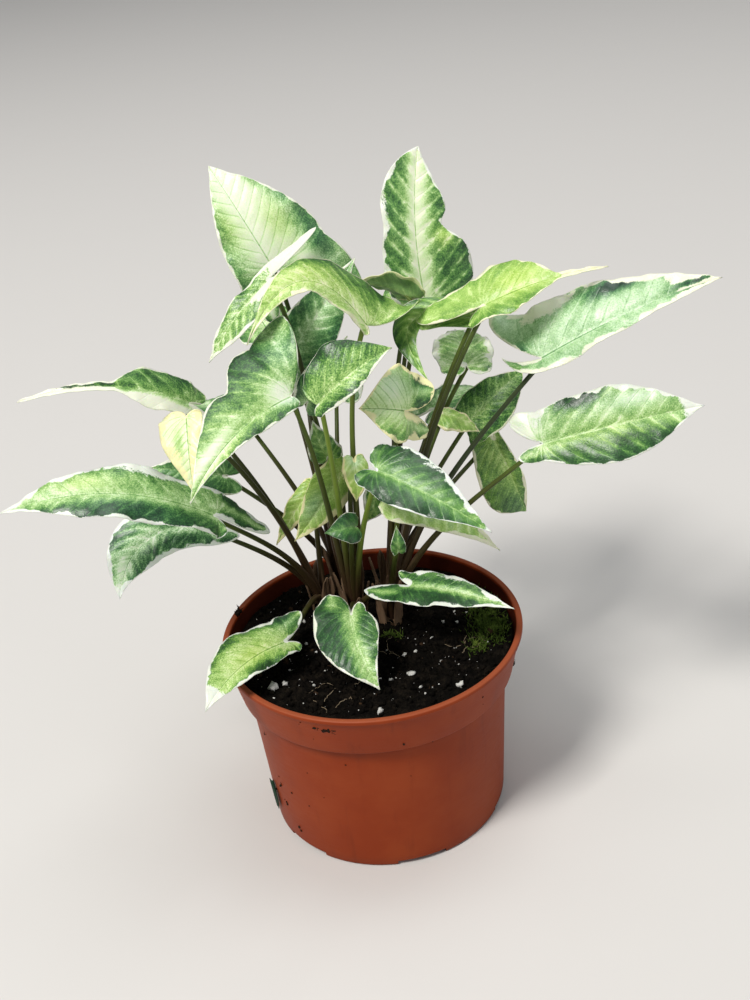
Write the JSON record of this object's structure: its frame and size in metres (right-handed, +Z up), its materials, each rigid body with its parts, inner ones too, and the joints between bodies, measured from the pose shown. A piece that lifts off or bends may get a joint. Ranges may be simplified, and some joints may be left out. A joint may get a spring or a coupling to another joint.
{
  "type": "potted arrowhead plant",
  "caption": "Bushy variegated arrowhead plant, cream and green arrow-shaped leaves on thin stalks, in a round collared plastic nursery pot filled with soil.",
  "frame": {"origin": "middle of the pot's flat underside, on the surface that the pot stands on", "axes": "+Z up, +Y to the back of the plant, +X to the right seen from the front, where the low leaf hangs over the soil"},
  "size_m": [0.2651, 0.182, 0.258],
  "materials": {
    "pot_plastic": "semi-matte moulded terracotta-coloured polypropylene, paler on the lip",
    "potting_soil": "moist black peat with white perlite grains, a few pale roots and a green film of moss",
    "leaf_stalk": "smooth round stalks, olive green above and brown-purple at their sheathed foot",
    "leaf_blade": "satin leaf: dark green and mint mottling round pale veins, with cream-white edges"
  },
  "bodies": {
    "root": {"pot": "pot_plastic", "soil": "potting_soil", "stems_left": "leaf_stalk", "stems_front": "leaf_stalk", "stems_centre": "leaf_stalk", "stems_right": "leaf_stalk", "stems_back_left": "leaf_stalk", "stems_back_right": "leaf_stalk", "leaf_upper_left": "leaf_blade", "leaf_upper_centre": "leaf_blade", "leaf_arching": "leaf_blade", "leaf_left_strip": "leaf_blade", "leaf_front_left": "leaf_blade", "leaf_front_oval": "leaf_blade", "leaf_left_long": "leaf_blade", "leaf_left_hanging": "leaf_blade", "leaf_low_left": "leaf_blade", "leaf_low_left_hanging": "leaf_blade", "leaf_back_left": "leaf_blade", "leaf_upper_right": "leaf_blade", "leaf_hooked": "leaf_blade", "leaf_right_pale": "leaf_blade", "leaf_right_under": "leaf_blade", "leaf_right_middle": "leaf_blade", "leaf_right_down": "leaf_blade", "leaf_right_back": "leaf_blade", "leaf_right_small": "leaf_blade", "leaf_curled": "leaf_blade", "leaf_front_right": "leaf_blade", "leaf_under_right": "leaf_blade", "leaf_front_yellow": "leaf_blade", "leaf_inner_yellow": "leaf_blade", "leaf_inner_upper": "leaf_blade", "leaf_inner_dark": "leaf_blade", "leaf_inner_green": "leaf_blade", "leaf_inner_young": "leaf_blade", "leaf_behind_yellow": "leaf_blade", "leaf_shaded": "leaf_blade", "leaf_behind_oval": "leaf_blade", "leaf_behind_centre": "leaf_blade", "leaf_low_right": "leaf_blade", "leaf_low_front": "leaf_blade", "leaf_over_rim": "leaf_blade", "leaf_rear_upper_left": "leaf_blade", "leaf_rear_upper_right": "leaf_blade", "leaf_rear_left": "leaf_blade", "leaf_rear": "leaf_blade", "leaf_rear_right": "leaf_blade"}
  },
  "joints": []
}
